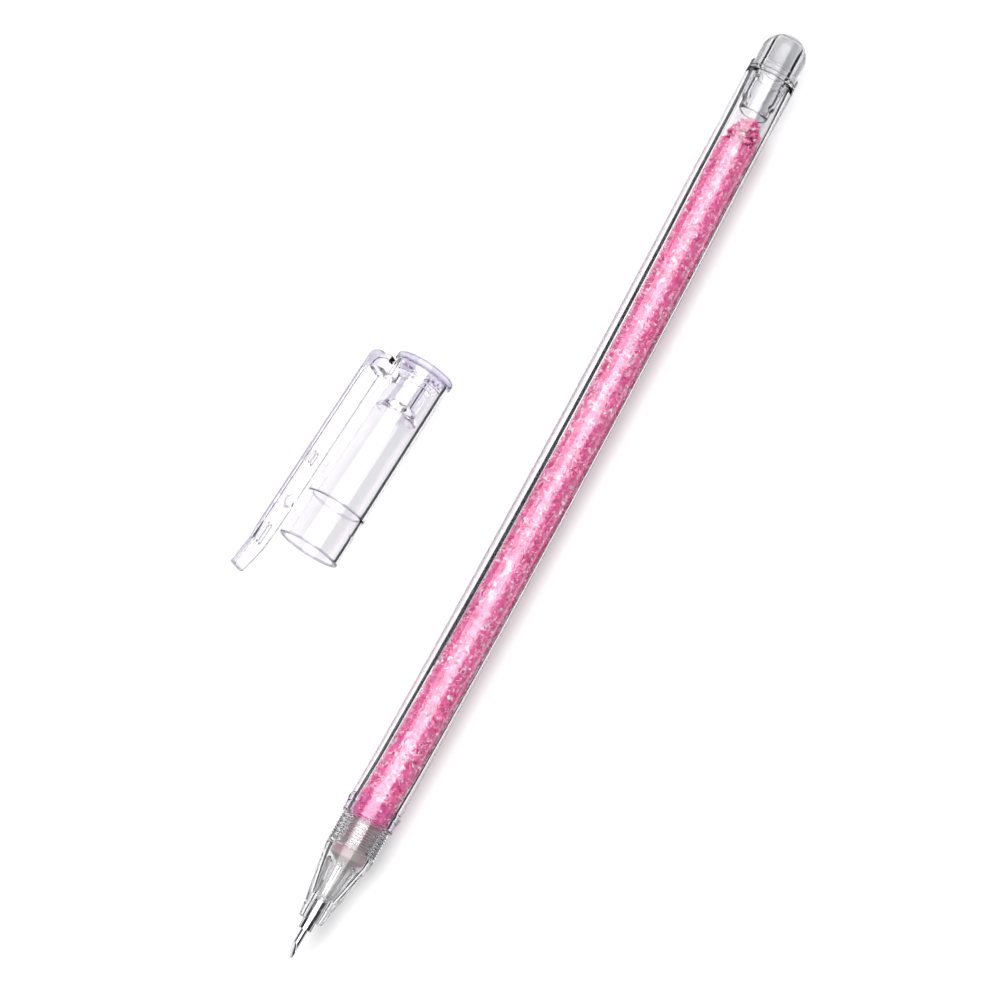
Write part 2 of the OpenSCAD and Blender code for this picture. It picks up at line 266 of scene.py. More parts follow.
def clear_plastic(name, tint, cast, rough=(0.0, 0.03), shade=(0.89, 0.89, 0.895), along=None, gloss=0.5):
    """Clear moulded plastic: a tint that drifts between two tones, flow lines and fine scuffs.
    cast is the colour and density deep inside. Lamps pass straight through, dimmed by shade."""
    m, nt, out = new_mat(name)
    p = node(nt, "ShaderNodeBsdfPrincipled")
    p.inputs["Transmission Weight"].default_value = 1.0
    p.inputs["IOR"].default_value = 1.5
    p.inputs["Specular IOR Level"].default_value = gloss
    drift = object_noise(nt, 60, 2, (0.25, 1, 1))
    tone = ramp(nt, drift, [(0.35, tint[0]), (0.65, tint[1])])
    if along:
        tone = banded(nt, tone, *along)
    nt.links.new(tone, p.inputs["Base Color"])
    scuff = object_noise(nt, 900, 3, (0.3, 1, 1), 0.6)
    nt.links.new(spread(nt, scuff, *rough), p.inputs["Roughness"])
    flow = object_noise(nt, 260, 2, (0.15, 1, 1))
    b = node(nt, "ShaderNodeBump")
    b.inputs["Strength"].default_value = 0.004
    b.inputs["Distance"].default_value = 0.0002
    nt.links.new(flow, b.inputs["Height"])
    nt.links.new(b.outputs["Normal"], p.inputs["Normal"])
    lamp = node(nt, "ShaderNodeBsdfTransparent")
    lamp.inputs["Color"].default_value = (*shade, 1)
    path = node(nt, "ShaderNodeLightPath")
    either = node(nt, "ShaderNodeMath", operation="MAXIMUM")
    nt.links.new(path.outputs["Is Shadow Ray"], either.inputs[0])
    nt.links.new(path.outputs["Is Diffuse Ray"], either.inputs[1])
    mix = node(nt, "ShaderNodeMixShader")
    nt.links.new(either.outputs[0], mix.inputs["Fac"])
    nt.links.new(p.outputs[0], mix.inputs[1])
    nt.links.new(lamp.outputs[0], mix.inputs[2])
    nt.links.new(mix.outputs[0], out.inputs["Surface"])
    deep = node(nt, "ShaderNodeVolumeAbsorption")
    deep.inputs["Color"].default_value = (*cast[0], 1)
    deep.inputs["Density"].default_value = cast[1]
    nt.links.new(deep.outputs[0], out.inputs["Volume"])
    return m


def crystal_material():
    """Crushed glossy crystals: each piece has its own pink. A few are painted peach, lilac and pearly
    white: painted glints that stand in for the crystals' sparkle.
    """
    m, nt, out = new_mat("pink_crystal_look")
    p = node(nt, "ShaderNodeBsdfPrincipled")
    at = node(nt, "ShaderNodeAttribute", attribute_name="piece")
    # each chip is itself a cluster of small facets, so its own tone is shifted from facet to facet
    tc = node(nt, "ShaderNodeTexCoord")
    facet = node(nt, "ShaderNodeTexVoronoi")
    facet.inputs["Scale"].default_value = 1800.0
    nt.links.new(tc.outputs["Object"], facet.inputs["Vector"])
    own = node(nt, "ShaderNodeSeparateColor")
    nt.links.new(facet.outputs["Color"], own.inputs[0])
    moved = node(nt, "ShaderNodeMath", operation="MULTIPLY_ADD")
    moved.inputs[1].default_value = 0.5
    nt.links.new(own.outputs[0], moved.inputs[0])
    nt.links.new(at.outputs["Fac"], moved.inputs[2])
    piece = node(nt, "ShaderNodeMath", operation="FRACT")
    nt.links.new(moved.outputs[0], piece.inputs[0])
    tone = ramp(
        nt,
        piece.outputs[0],
        [
            (0.0, (0.66, 0.055, 0.230)),
            (0.10, (0.82, 0.110, 0.320)),
            (0.40, (0.90, 0.165, 0.410)),
            (0.66, (0.94, 0.210, 0.460)),
            (0.78, (0.98, 0.300, 0.540)),
            (0.84, (1.00, 0.520, 0.700)),
            # painted glints: the peach, lilac and pearly white tones from here up to 0.96
            (0.88, (1.00, 0.760, 0.740)),
            (0.92, (0.94, 0.740, 1.000)),
            (0.96, (1.00, 0.940, 0.930)),
            (0.975, (0.92, 0.180, 0.430)),
            (1.0, (0.70, 0.070, 0.250)),
        ],
    )
    cloud = object_noise(nt, 1400, 3, (1, 1, 1), 0.6)
    dark = node(nt, "ShaderNodeMix", data_type="RGBA", blend_type="MULTIPLY")
    dark.inputs["Factor"].default_value = 1.0
    nt.links.new(tone, dark.inputs["A"])
    nt.links.new(ramp(nt, cloud, [(0.3, (0.86, 0.78, 0.82)), (0.7, (1.0, 1.0, 1.0))]), dark.inputs["B"])
    nt.links.new(dark.outputs["Result"], p.inputs["Base Color"])
    nt.links.new(spread(nt, cloud, 0.06, 0.34), p.inputs["Roughness"])
    p.inputs["IOR"].default_value = 1.6
    p.inputs["Coat Weight"].default_value = 0.25
    p.inputs["Coat Roughness"].default_value = 0.05
    geo = node(nt, "ShaderNodeNewGeometry")
    middle = node(nt, "ShaderNodeVectorMath", operation="SUBTRACT")
    middle.inputs[1].default_value = (0.5, 0.5, 0.5)
    nt.links.new(facet.outputs["Color"], middle.inputs[0])
    tip = node(nt, "ShaderNodeVectorMath", operation="MULTIPLY_ADD")
    tip.inputs[1].default_value = (0.4, 0.4, 0.4)
    nt.links.new(middle.outputs[0], tip.inputs[0])
    nt.links.new(geo.outputs["Normal"], tip.inputs[2])
    unit = node(nt, "ShaderNodeVectorMath", operation="NORMALIZE")
    nt.links.new(tip.outputs[0], unit.inputs[0])
    b = node(nt, "ShaderNodeBump")
    b.inputs["Strength"].default_value = 0.4
    b.inputs["Distance"].default_value = 0.0001
    nt.links.new(cloud, b.inputs["Height"])
    nt.links.new(unit.outputs[0], b.inputs["Normal"])
    nt.links.new(b.outputs["Normal"], p.inputs["Normal"])
    nt.links.new(b.outputs["Normal"], p.inputs["Coat Normal"])
    nt.links.new(p.outputs[0], out.inputs["Surface"])
    return m


def milky_plastic():
    """Natural polypropylene: the thick body is milky and grey, the thin stem in front nearly clear."""
    m, nt, out = new_mat("milky_look")
    p = node(nt, "ShaderNodeBsdfPrincipled")
    tc = node(nt, "ShaderNodeTexCoord")
    split = node(nt, "ShaderNodeSeparateXYZ")
    nt.links.new(tc.outputs["Object"], split.inputs[0])
    body = node(nt, "ShaderNodeMapRange")
    body.inputs["From Min"].default_value = (TIP_X + 14.3) * MM
    body.inputs["From Max"].default_value = (TIP_X + 15.3) * MM
    nt.links.new(split.outputs["X"], body.inputs["Value"])
    thick = body.outputs["Result"]
    cloud = object_noise(nt, 300, 3, (0.3, 1, 1))
    # pink streaks in random places over the milky body
    pink_streaks = object_noise(nt, 420, 2, (1.2, 1, 1))
    grey = ramp(nt, cloud, [(0.3, (0.50, 0.415, 0.415)), (0.7, (0.60, 0.51, 0.51))])
    pink = ramp(nt, pink_streaks, [(0.52, (1.0, 1.0, 1.0)), (0.66, (1.15, 0.72, 0.86))])
    both = node(nt, "ShaderNodeMix", data_type="RGBA", blend_type="MULTIPLY")
    both.inputs["Factor"].default_value = 1.0
    nt.links.new(grey, both.inputs["A"])
    nt.links.new(pink, both.inputs["B"])
    tone = node(nt, "ShaderNodeMix", data_type="RGBA")
    tone.inputs["A"].default_value = (0.66, 0.65, 0.635, 1)
    nt.links.new(thick, tone.inputs["Factor"])
    nt.links.new(both.outputs["Result"], tone.inputs["B"])
    nt.links.new(tone.outputs["Result"], p.inputs["Base Color"])
    nt.links.new(spread(nt, thick, 0.06, 0.42), p.inputs["Roughness"])
    nt.links.new(spread(nt, thick, 0.55, 0.2), p.inputs["Transmission Weight"])
    p.inputs["Specular IOR Level"].default_value = 0.2
    p.inputs["IOR"].default_value = 1.47
    b = node(nt, "ShaderNodeBump")
    b.inputs["Strength"].default_value = 0.06
    b.inputs["Distance"].default_value = 0.0001
    nt.links.new(cloud, b.inputs["Height"])
    nt.links.new(b.outputs["Normal"], p.inputs["Normal"])
    nt.links.new(p.outputs[0], out.inputs["Surface"])
    return m


def metal(name, dark, light, rough, stretch, bump):
    m, nt, out = new_mat(name)
    p = node(nt, "ShaderNodeBsdfPrincipled")
    p.inputs["Metallic"].default_value = 1.0
    grain = object_noise(nt, 3000, 3, stretch, 0.6)
    nt.links.new(ramp(nt, grain, [(0.3, dark), (0.7, light)]), p.inputs["Base Color"])
    nt.links.new(spread(nt, grain, *rough), p.inputs["Roughness"])
    b = node(nt, "ShaderNodeBump")
    b.inputs["Strength"].default_value = bump
    b.inputs["Distance"].default_value = 0.00003
    nt.links.new(grain, b.inputs["Height"])
    nt.links.new(b.outputs["Normal"], p.inputs["Normal"])
    nt.links.new(p.outputs[0], out.inputs["Surface"])
    return m


VIOLET, GREY = (0.58, 0.52, 0.72), (0.60, 0.60, 0.63)
# the last tone on the next line is painted shade, for the dark lines in the tail plug's grooves
WHITE, SMOKE, GROOVE_SHADE = (1.0, 1.0, 1.0), (0.87, 0.87, 0.875), (0.42, 0.42, 0.43)
# the dark lilac tones on this line and the next are painted shade: lines painted along the edges of the cap
# and the clip
LILAC, LILAC_EDGE_SHADE, LILAC_RIM_SHADE = (0.84, 0.80, 0.89), (0.52, 0.47, 0.63), (0.54, 0.52, 0.59)
CLIP_OUTLINE_SHADE = (0.10, 0.095, 0.115)
CLEAR = ((0.99, 0.985, 0.995), WHITE)
CLIP_CLEAR = ((0.985, 0.98, 0.99), WHITE)
NOSE_CLEAR = ((0.98, 0.98, 0.985), (0.995, 0.995, 0.995))
PLUG_CLEAR = ((0.965, 0.965, 0.97), (0.99, 0.99, 0.99))
DISC_CLEAR = ((0.97, 0.965, 0.98), (0.99, 0.985, 0.995))

# tones along the pieces, as (first place, last place, stops)
# the tail plug: a smoky tint on the dome, and dark lines painted into its two grooves as painted shade
PLUG_SMOKE_AND_GROOVE_SHADE = (
    PLUG_FRONT,
    PEN_LEN,
    [
        (PLUG_FRONT, WHITE),
        (PLUG_RING - 0.09, WHITE),
        (PLUG_RING - 0.05, GROOVE_SHADE),
        (PLUG_RING + 0.05, GROOVE_SHADE),
        (PLUG_RING + 0.09, WHITE),
        (DOME_START - 0.08, WHITE),
        (DOME_START - 0.04, GROOVE_SHADE),
        (DOME_START + 0.05, GROOVE_SHADE),
        (DOME_START + 0.09, SMOKE),
        (PEN_LEN, SMOKE),
    ],
)
# painted shade: dark lilac lines painted at the cap's mouth rim and at the step in its bore
MOUTH_EDGE_SHADE = (
    0.0,
    CAP_LEN,
    [
        (0.0, LILAC_EDGE_SHADE),
        (0.22, LILAC_EDGE_SHADE),
        (0.34, WHITE),
        (CAP_STEP - 0.1, WHITE),
        (CAP_STEP, LILAC_EDGE_SHADE),
        (CAP_STEP + 0.14, LILAC_EDGE_SHADE),
        (CAP_STEP + 0.24, WHITE),
        (CAP_LEN, WHITE),
    ],
)
# painted shade: a dark lilac line painted round the end disc where it meets the tube
DISC_EDGE_SHADE = (
    CAP_LEN - 8,
    CAP_LEN + 2,
    [
        (CAP_LEN - 8, WHITE),
        (CAP_LEN - 0.2, WHITE),
        (CAP_LEN - 0.1, LILAC_EDGE_SHADE),
        (CAP_LEN + 0.2, LILAC_EDGE_SHADE),
        (CAP_LEN + 0.35, WHITE),
        (CAP_LEN + 2, WHITE),
    ],
)
# painted shade on the clip: 1 is a lilac line painted along its edges, 2 a near-black outline painted round
# its raised bars, and its ends get 1.5
CLIP_EDGE_SHADE = (0.0, 2.0, [(0.0, WHITE), (1.0, LILAC_RIM_SHADE), (2.0, CLIP_OUTLINE_SHADE)])
COLLAR = (
    NECK_FRONT,
    BEAD_BACK + 4,
    [
        (NECK_FRONT, WHITE),
        (RING_FRONT - 0.3, WHITE),
        (RING_FRONT, LILAC),
        (BEAD_BACK, LILAC),
        (BEAD_BACK + 0.4, WHITE),
        (BEAD_BACK + 4, WHITE),
    ],
)

M_NOSE = clear_plastic("nose_clear", NOSE_CLEAR, (GREY, 120.0), gloss=0.22)
M_BARREL = clear_plastic("barrel_clear", CLEAR, (VIOLET, 45.0), along=COLLAR)
M_PLUG = clear_plastic("plug_clear", PLUG_CLEAR, (GREY, 170.0), rough=(0.0, 0.04), along=PLUG_SMOKE_AND_GROOVE_SHADE)
M_CAP = clear_plastic("cap_clear", CLEAR, (VIOLET, 26.0), shade=(0.915, 0.915, 0.92), along=MOUTH_EDGE_SHADE)
M_CLIP = clear_plastic("clip_clear", CLIP_CLEAR, (VIOLET, 45.0), shade=(0.93, 0.93, 0.935), along=CLIP_EDGE_SHADE)
M_DISC = clear_plastic(
    "cap_violet", DISC_CLEAR, (VIOLET, 45.0), rough=(0.0, 0.05), shade=(0.93, 0.93, 0.94), along=DISC_EDGE_SHADE
)
M_CRYSTAL = crystal_material()
M_MILKY = milky_plastic()
M_CHROME = metal("ferrule_bright", (0.78, 0.78, 0.80), (0.90, 0.90, 0.91), (0.03, 0.10), (1, 1, 1), 0.1)
M_STEEL = metal("needle_steel_look", (0.50, 0.50, 0.52), (0.68, 0.68, 0.70), (0.08, 0.2), (0.05, 1, 1), 0.3)


def finish_piece(ob, mat, body, nodes):
    """Gives a piece its material, the nodes it stands in for and the body it rides on."""
    if body in ("pen", "nose", "plug"):
        bowed(ob)
    ob.data.materials.append(mat)
    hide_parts(*nodes)
    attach(ob, body)
    return ob


# ---------- barrel ----------


def helix(base, height, pitch, crest, x, x0, x1, slope):
    """Radius of a thread at station x, as a function of the angle. The thread runs out at x0 and x1."""
    run = max(0.0, min(1.0, (x - x0) / (0.5 * pitch), (x1 - x) / (0.5 * pitch)))

    def r(a):
        s = ((x / pitch) - a / TAU) % 1.0
        d = abs(s - 0.5) * 2
        return base + height * run * max(0.0, min(1.0, (crest + slope - d) / slope))

    return r


def barrel_bend(x):
    """Share of the bore's lean at a station: none at the neck, most at the middle, a little at the tail."""
    u = (x - BEAD_BACK) / (BARREL_END - BEAD_BACK)
    if u <= 0 or u >= 1:
        return 0.0
    return 0.75 * math.sin(math.pi * u) + 0.25 * min(1.0, u / 0.05, (1 - u) / 0.05)


def make_barrel():
    outer = [(NECK_FRONT, HOLDER_R + 0.06), (NECK_FRONT, ROOT_R - 0.12), (NECK_FRONT + 0.12, ROOT_R)]
    x, t0, t1 = NECK_FRONT + 0.25, NECK_FRONT + 0.2, RING_FRONT - 0.35
    while x < RING_FRONT - 0.1:
        outer.append((x, helix(ROOT_R + 0.1, CREST_R - ROOT_R - 0.1, THREAD_PITCH, 0.2, x, t0, t1, 0.25)))
        x += THREAD_PITCH / 20
    outer += arc(RING_FRONT - 0.12, ROOT_R + 0.12, 0.12, 270, 360, 3)
    outer += arc(RING_FRONT + 0.15, RING_R - 0.15, 0.15, 180, 90, 4)
    swell0, swell1 = BEAD_BACK - BEAD_W - 0.2, BEAD_BACK + 0.25
    outer += line(RING_FRONT + 0.4, RING_R, swell0 - 0.1, RING_R, 3)
    for i in range(25):
        u = i / 24
        foot = RING_R + (BARREL_R - RING_R) * u
        swell = (BEAD_R - 0.01 - foot) * math.sin(math.pi * u) ** 2
        outer.append((swell0 + (swell1 - swell0) * u, foot + swell))
    steps = 72
    skin0, skin1 = BEAD_BACK + 0.4, BARREL_END - 0.35
    skin = [skin0 + (skin1 - skin0) * i / steps for i in range(steps + 1)]
    rows, bends = [], []

    def add(pts, lean=0.0, slim=0.0):
        for x, r in pts:
            b = barrel_bend(x)
            rows.append((x, r))
            bends.append((-lean * b, 1.0 - slim * b))

    add(outer)
    add([(x, BARREL_R) for x in skin], 0.0, BARREL_WAIST / BARREL_R)
    add(arc(BARREL_END - 0.1, BARREL_R - 0.1, 0.1, 90, 0, 3))
    add([(BARREL_END, BORE_R + 0.25), (BARREL_END - 0.25, BORE_R)])
    add([(x, BORE_R) for x in reversed(skin)], BORE_BOW)
    add([(BEAD_BACK, BORE_R), (HOLDER_BACK + 0.05, BORE_R), (HOLDER_BACK, BORE_R - 0.05)])
    add([(HOLDER_BACK, HOLDER_R + 0.06)])
    verts, faces, rings, seg = [], [], [], 192
    for (x, r), (dy, sc) in zip(rows, bends):
        ring = []
        for k in range(seg):
            a = TAU * k / seg
            rr = (r(a) if callable(r) else r) * sc
            ring.append(len(verts))
            verts.append((x, rr * math.cos(a) + dy, rr * math.sin(a)))
        rings.append(ring)
    for a, b in zip(rings, rings[1:] + rings[:1]):
        faces += band_faces(a, b)
    ob = outwards(mesh_object("barrel_tube", verts, faces, PEN_REST))
    return finish_piece(ob, M_BARREL, "pen", ["barrel"])


def make_holder():
    stem_r, stem_back, shoulder = 0.925, 14.2, 15.2
    rows = [(FERRULE_BACK + 0.02, 0.0), (FERRULE_BACK + 0.02, stem_r - 0.075)]
    rows += arc(FERRULE_BACK + 0.1, stem_r - 0.075, 0.075, 180, 90, 3)
    rows += line(FERRULE_BACK + 0.3, stem_r, stem_back, stem_r, 6)
    rows += arc(stem_back, stem_r + 0.4, 0.4, 270, 330, 5)
    rows += [(shoulder - 0.05, HOLDER_R - 0.35)] + arc(shoulder + 0.3, HOLDER_R - 0.3, 0.3, 150, 90, 5)
    rows += line(shoulder + 0.5, HOLDER_R, HOLDER_BACK - 0.2, HOLDER_R, 8)
    rows += [(HOLDER_BACK - 0.02, HOLDER_R - 0.15), (HOLDER_BACK - 0.02, 0.0)]
    v, f = lathe(rows, 96, closed=False)
    ob = outwards(mesh_object("tip_stem", v, f, PEN_REST))
    return finish_piece(ob, M_MILKY, "pen", ["tip_holder"])


def make_ferrule():
    r, bore = 1.0, NEEDLE_R + 0.005
    rows = [(FERRULE_FRONT + 0.25, bore), (FERRULE_FRONT, bore + 0.055)]
    rows += arc(FERRULE_FRONT + 0.12, r - 0.12, 0.12, 180, 90, 5)
    rows += line(FERRULE_FRONT + 0.3, r, CONE_FRONT + 2.2, r, 6)
    groove = CONE_FRONT + 2.35
    rows += [(groove, r - 0.05), (groove + 0.12, r - 0.05), (groove + 0.2, r)]
    rows += line(groove + 0.3, r, FERRULE_BACK - 0.15, r, 3)
    rows += arc(FERRULE_BACK - 0.1, r - 0.1, 0.1, 90, 0, 4)
    rows += [(FERRULE_BACK, bore)]
    v, f = lathe(rows, 96)
    ob = outwards(mesh_object("ferrule_sleeve", v, f, PEN_REST))
    return finish_piece(ob, M_CHROME, "pen", ["ferrule"])


def make_needle():
    """A round rod cut at a slant. The cut faces up and to the cap's side, so the point is low on the
    other side. The cut is ground very slightly round across its width."""
    r, slant, turn, seg, edge, swell = NEEDLE_R, 2.3, math.radians(60), 96, 0.03, 0.03
    bevel = 0.985 * slant
    normal = Vector((-2 * r, slant * math.cos(turn), slant * math.sin(turn))).normalized()
    verts, faces = [], []

    def add_ring(point):
        verts.extend(point(TAU * k / seg) for k in range(seg))
        return list(range(len(verts) - seg, len(verts)))

    def cut(f):
        """Points of the cut at a share f of its size, as a function of the angle."""

        def point(a):
            across = f * math.sin(a - turn)
            lift = normal * (swell * (1 - across * across))
            rr = (r - edge) * f
            x = bevel * (1 + f * math.cos(a - turn)) / 2 + lift.x
            return (x, rr * math.cos(a) + lift.y, rr * math.sin(a) + lift.z)

        return point

    def rod(x):
        """Points of the rod at x, or just behind the cut's edge where x is None."""

        def point(a):
            behind = bevel * (1 + math.cos(a - turn)) / 2 + 0.05
            return (behind if x is None else x, r * math.cos(a), r * math.sin(a))

        return point

    outlines = [cut(f) for f in (0.2, 0.4, 0.6, 0.8, 1.0)]
    outlines += [rod(x) for x in (None, 2.6, 3.2, 4.0, 6.0, FERRULE_BACK + 1.9)]
    rings = [add_ring(point) for point in outlines]
    for a, b in zip(rings, rings[1:]):
        faces += band_faces(a, b)
    middle = len(verts)
    verts.append(cut(0.0)(0.0))
    faces += [(middle, rings[0][k], rings[0][(k + 1) % seg]) for k in range(seg)]
    faces.append(tuple(rings[-1]))
    ob = outwards(mesh_object("needle_point", verts, faces, PEN_REST, 12))
    return finish_piece(ob, M_STEEL, "pen", ["needle"])


# ---------- nose cone ----------


def make_nose():
    band_end, skirt_front, groove, belly = 7.7, 16.4, 0.17, 0.10
    front_r, band_r, skirt_r, guide_r = 1.75, 2.0, 3.6, 1.14
    outer = [(CONE_FRONT, guide_r)] + arc(CONE_FRONT + 0.18, front_r - 0.18, 0.18, 180, 90, 5)
    outer += line(CONE_FRONT + 0.3, front_r + 0.02, band_end - 0.1, band_r, 4)
    outer += [(band_end - 0.02, band_r), (band_end, band_r - 0.04), (band_end + 0.03, band_r - groove)]
    outer += [(band_end + 0.2, band_r - groove), (band_end + 0.24, band_r), (band_end + 0.4, band_r + 0.05)]
    for i in range(1, 15):
        u = i / 15
        x = band_end + 0.4 + (skirt_front - band_end - 0.4) * u
        straight = band_r + 0.05 + (skirt_r - 0.06 - band_r - 0.05) * u
        outer.append((x, straight + belly * math.sin(math.pi * u)))
    outer += arc(skirt_front - 0.05, skirt_r - 0.16, 0.12, 100, 20, 4)
    outer += [(skirt_front + 0.12, skirt_r - 0.14), (skirt_front + 0.22, skirt_r - 0.02)]
    outer += line(skirt_front + 0.35, skirt_r, SKIRT_BACK - 0.15, skirt_r, 8)
    outer += arc(SKIRT_BACK - 0.1, skirt_r - 0.1, 0.1, 90, 0, 4)
    bore = CREST_R + 0.06
    inner = [(SKIRT_BACK, bore + 0.05)]
    x = SKIRT_BACK - 0.1
    x1, x0 = SKIRT_BACK - 0.1, NECK_FRONT + 0.1
    while x > NECK_FRONT - 0.1:
        inner.append((x, helix(bore, 0.07, THREAD_PITCH / 2, 0.12, x + 0.1, x0, x1, 0.12)))
        x -= THREAD_PITCH / 16
    inner += [(NECK_FRONT - 0.25, bore - 0.05), (NECK_FRONT - 0.3, HOLDER_R + 0.16)]
    ribs, rib_deep = 8, 0.5
    cav0, cav1, cav_r0, cav_r1 = FERRULE_BACK + 0.5, 15.25, 1.4, HOLDER_R + 0.12

    def fluted(x):
        """Radius of the cavity at station x, as a function of the angle: a cone with ribs inside."""
        u = max(0.0, min(1.0, (x - cav0) / (cav1 - cav0)))
        base = cav_r0 + (cav_r1 - cav_r0) * u
        fade = min(1.0, (x - cav0) / 0.6, (cav1 - 0.75 - x) / 0.55)
        deep = max(0.0, rib_deep * fade * (0.5 + u))

        def r(a):
            s = (a * ribs / TAU + 0.5) % 1.0
            d = abs(s - 0.5) * 2
            w = 1 / (1 + math.exp((d - 0.3) * 40))
            return base - deep * w

        return r

    steps = 34
    for i in range(steps + 1):
        x = cav1 + (cav0 + 0.02 - cav1) * i / steps
        inner.append((x, fluted(x)))
    inner += [(cav0, guide_r + 0.06), (cav0 - 0.05, guide_r)]
    v, f = lathe(outer + inner, 256)
    ob = outwards(mesh_object("nose_shell", v, f, PEN_REST, 32))
    return finish_piece(ob, M_NOSE, "nose", ["nose_cone"])


# ---------- crystals ----------


def shard_shapes(rng, count):
    """A few irregular convex chips, each as (verts, faces), about 1 across."""
    shapes = []
    for _ in range(count):
        bm = bmesh.new()
        for _ in range(rng.randint(8, 13)):
            v = Vector((rng.gauss(0, 1), rng.gauss(0, 1), rng.gauss(0, 1))).normalized()
            bm.verts.new(v * (0.5 * rng.uniform(0.82, 1.0)))
        bmesh.ops.convex_hull(bm, input=bm.verts)
        for v in [v for v in bm.verts if not v.link_faces]:
            bm.verts.remove(v)
        bmesh.ops.dissolve_limit(bm, angle_limit=math.radians(14), verts=bm.verts, edges=bm.edges)
        bm.verts.index_update()
        shapes.append(([v.co.copy() for v in bm.verts], [[v.index for v in f.verts] for f in bm.faces]))
        bm.free()
    return shapes


def heap_end(y, z):
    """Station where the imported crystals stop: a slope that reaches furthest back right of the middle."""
    d = -y - 0.6
    return HEAP_LONG - 0.05 - (0.56 if d < 0 else 0.75) * d * d - 0.15 * max(0.0, z - 0.8)


def chips_object(name, placed, seed, wall=None):
    """One mesh of many chips. placed is a list of (centre, rotation, size).
    wall(x) gives the bore's middle and radius: corners past it are pressed flat against it."""
    rng = random.Random(seed)
    shapes = shard_shapes(rng, 40)
    verts, faces, tone = [], [], []
    for centre, rot, size in placed:
        vs, fs = rng.choice(shapes)
        base = len(verts)
        t = rng.random()
        for co in vs:
            w = rot @ Vector((co.x * size[0], co.y * size[1], co.z * size[2]))
            x, y, z = centre[0] + w.x, centre[1] + w.y, centre[2] + w.z
            if wall:
                mid_y, limit = wall(x)
                d = math.hypot(y - mid_y, z)
                if d > limit:
                    y, z = mid_y + (y - mid_y) * limit / d, z * limit / d
            verts.append((x, y, z))
            tone.append(t)
        faces += [[base + i for i in corners] for corners in fs]
    me = bpy.data.meshes.new(name)
    me.from_pydata([(v[0] * MM, v[1] * MM, v[2] * MM) for v in verts], [], faces)
    me.update()
    at = me.attributes.new("piece", "FLOAT", "POINT")
    at.data.foreach_set("value", tone)
    me.transform(PEN_REST)
    ob = bpy.data.objects.new(name, me)
    bpy.context.scene.collection.objects.link(ob)
    return outwards(ob)


def make_crystals():
    rng = random.Random(71)
    placed = []
    start, core_r, gap = HOLDER_BACK + 0.1, 2.62, 0.035
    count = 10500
    while len(placed) < count:
        x = start + (HEAP_LONG - start) * rng.random()
        a = rng.uniform(0, TAU)
        long = rng.choice((0.4, 0.6, 0.8, 0.8, 1.1, 1.5)) * rng.uniform(0.8, 1.2)
        wide, thick = long * rng.uniform(0.35, 0.85), rng.uniform(0.2, 0.5)
        reach = BORE_R - 0.02 - thick * 0.4 - rng.random() ** 2 * 0.3
        y, z = reach * math.cos(a), reach * math.sin(a)
        if x + long * 0.35 > heap_end(y, z):
            continue
        x = max(x, start + long * 0.5)
        lean = Matrix.Rotation(rng.gauss(0, 0.5), 3, "X") @ Matrix.Rotation(rng.gauss(0, 0.5), 3, "Y")
        face = Matrix.Rotation(a - math.pi / 2, 3, "X")
        spin = Matrix.Rotation(rng.uniform(0, TAU), 3, "Z")
        placed.append(((x, y - BORE_BOW * barrel_bend(x), z), face @ lean @ spin, (long, wide, thick)))
    # loose ones that make up the slope at the back
    for _ in range(count // 8):
        y, z = rng.uniform(-2.4, 2.4), rng.uniform(-2.4, 2.4)
        if math.hypot(y, z) > 2.5:
            continue
        x = heap_end(y, z) - rng.uniform(0.3, 1.9)
        long = rng.uniform(0.5, 1.1)
        turn = Matrix.Rotation(rng.uniform(0, TAU), 3, "X") @ Matrix.Rotation(rng.uniform(0, TAU), 3, "Z")
        placed.append(((x, y - BORE_BOW * barrel_bend(x), z), turn, (long, long * 0.7, long * 0.4)))

    def wall(x):
        return -BORE_BOW * barrel_bend(x), BORE_R - gap

    ob = chips_object("crystal_chips", placed, 5, wall)
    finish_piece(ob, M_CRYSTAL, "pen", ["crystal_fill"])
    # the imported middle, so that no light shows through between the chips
    rows = [(start, 0.0), (start, core_r - 0.52)]
    n = 90
    for i in range(n + 1):
        x = start + 0.3 + (HEAP_LONG - 5.2 - start) * i / n
        rows.append((x, core_r + rng.uniform(-0.08, 0.08)))
    rows += [(HEAP_LONG - 4.2, 1.9), (HEAP_LONG - 3.2, 1.0), (HEAP_LONG - 2.8, 0.0)]
    v, f = lathe(rows, 48, closed=False, middle=lambda x: -BORE_BOW * barrel_bend(x))
    core = outwards(mesh_object("crystal_core", v, f, PEN_REST, 20))
    at = core.data.attributes.new("piece", "FLOAT", "POINT")
    at.data.foreach_set("value", [rng.random() * 0.7 for _ in core.data.vertices])
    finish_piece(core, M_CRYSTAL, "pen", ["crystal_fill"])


def make_strays():
    rng = random.Random(8)
    placed = []
    between_ribs = ((13.3, 1.45, 67.5), (12.0, 1.4, 202.5), (14.3, 1.5, 292.5))  # station, reach, angle
    for x, reach, deg in between_ribs:
        a = math.radians(deg)
        rot = Matrix.Rotation(rng.uniform(0, TAU), 3, "X") @ Matrix.Rotation(rng.uniform(0, TAU), 3, "Z")
        placed.append(((x, reach * math.cos(a), reach * math.sin(a)), rot, (0.55, 0.45, 0.4)))
    ob = chips_object("stray_chips", placed, 11)
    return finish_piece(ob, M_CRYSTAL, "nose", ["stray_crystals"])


# ---------- tail plug ----------


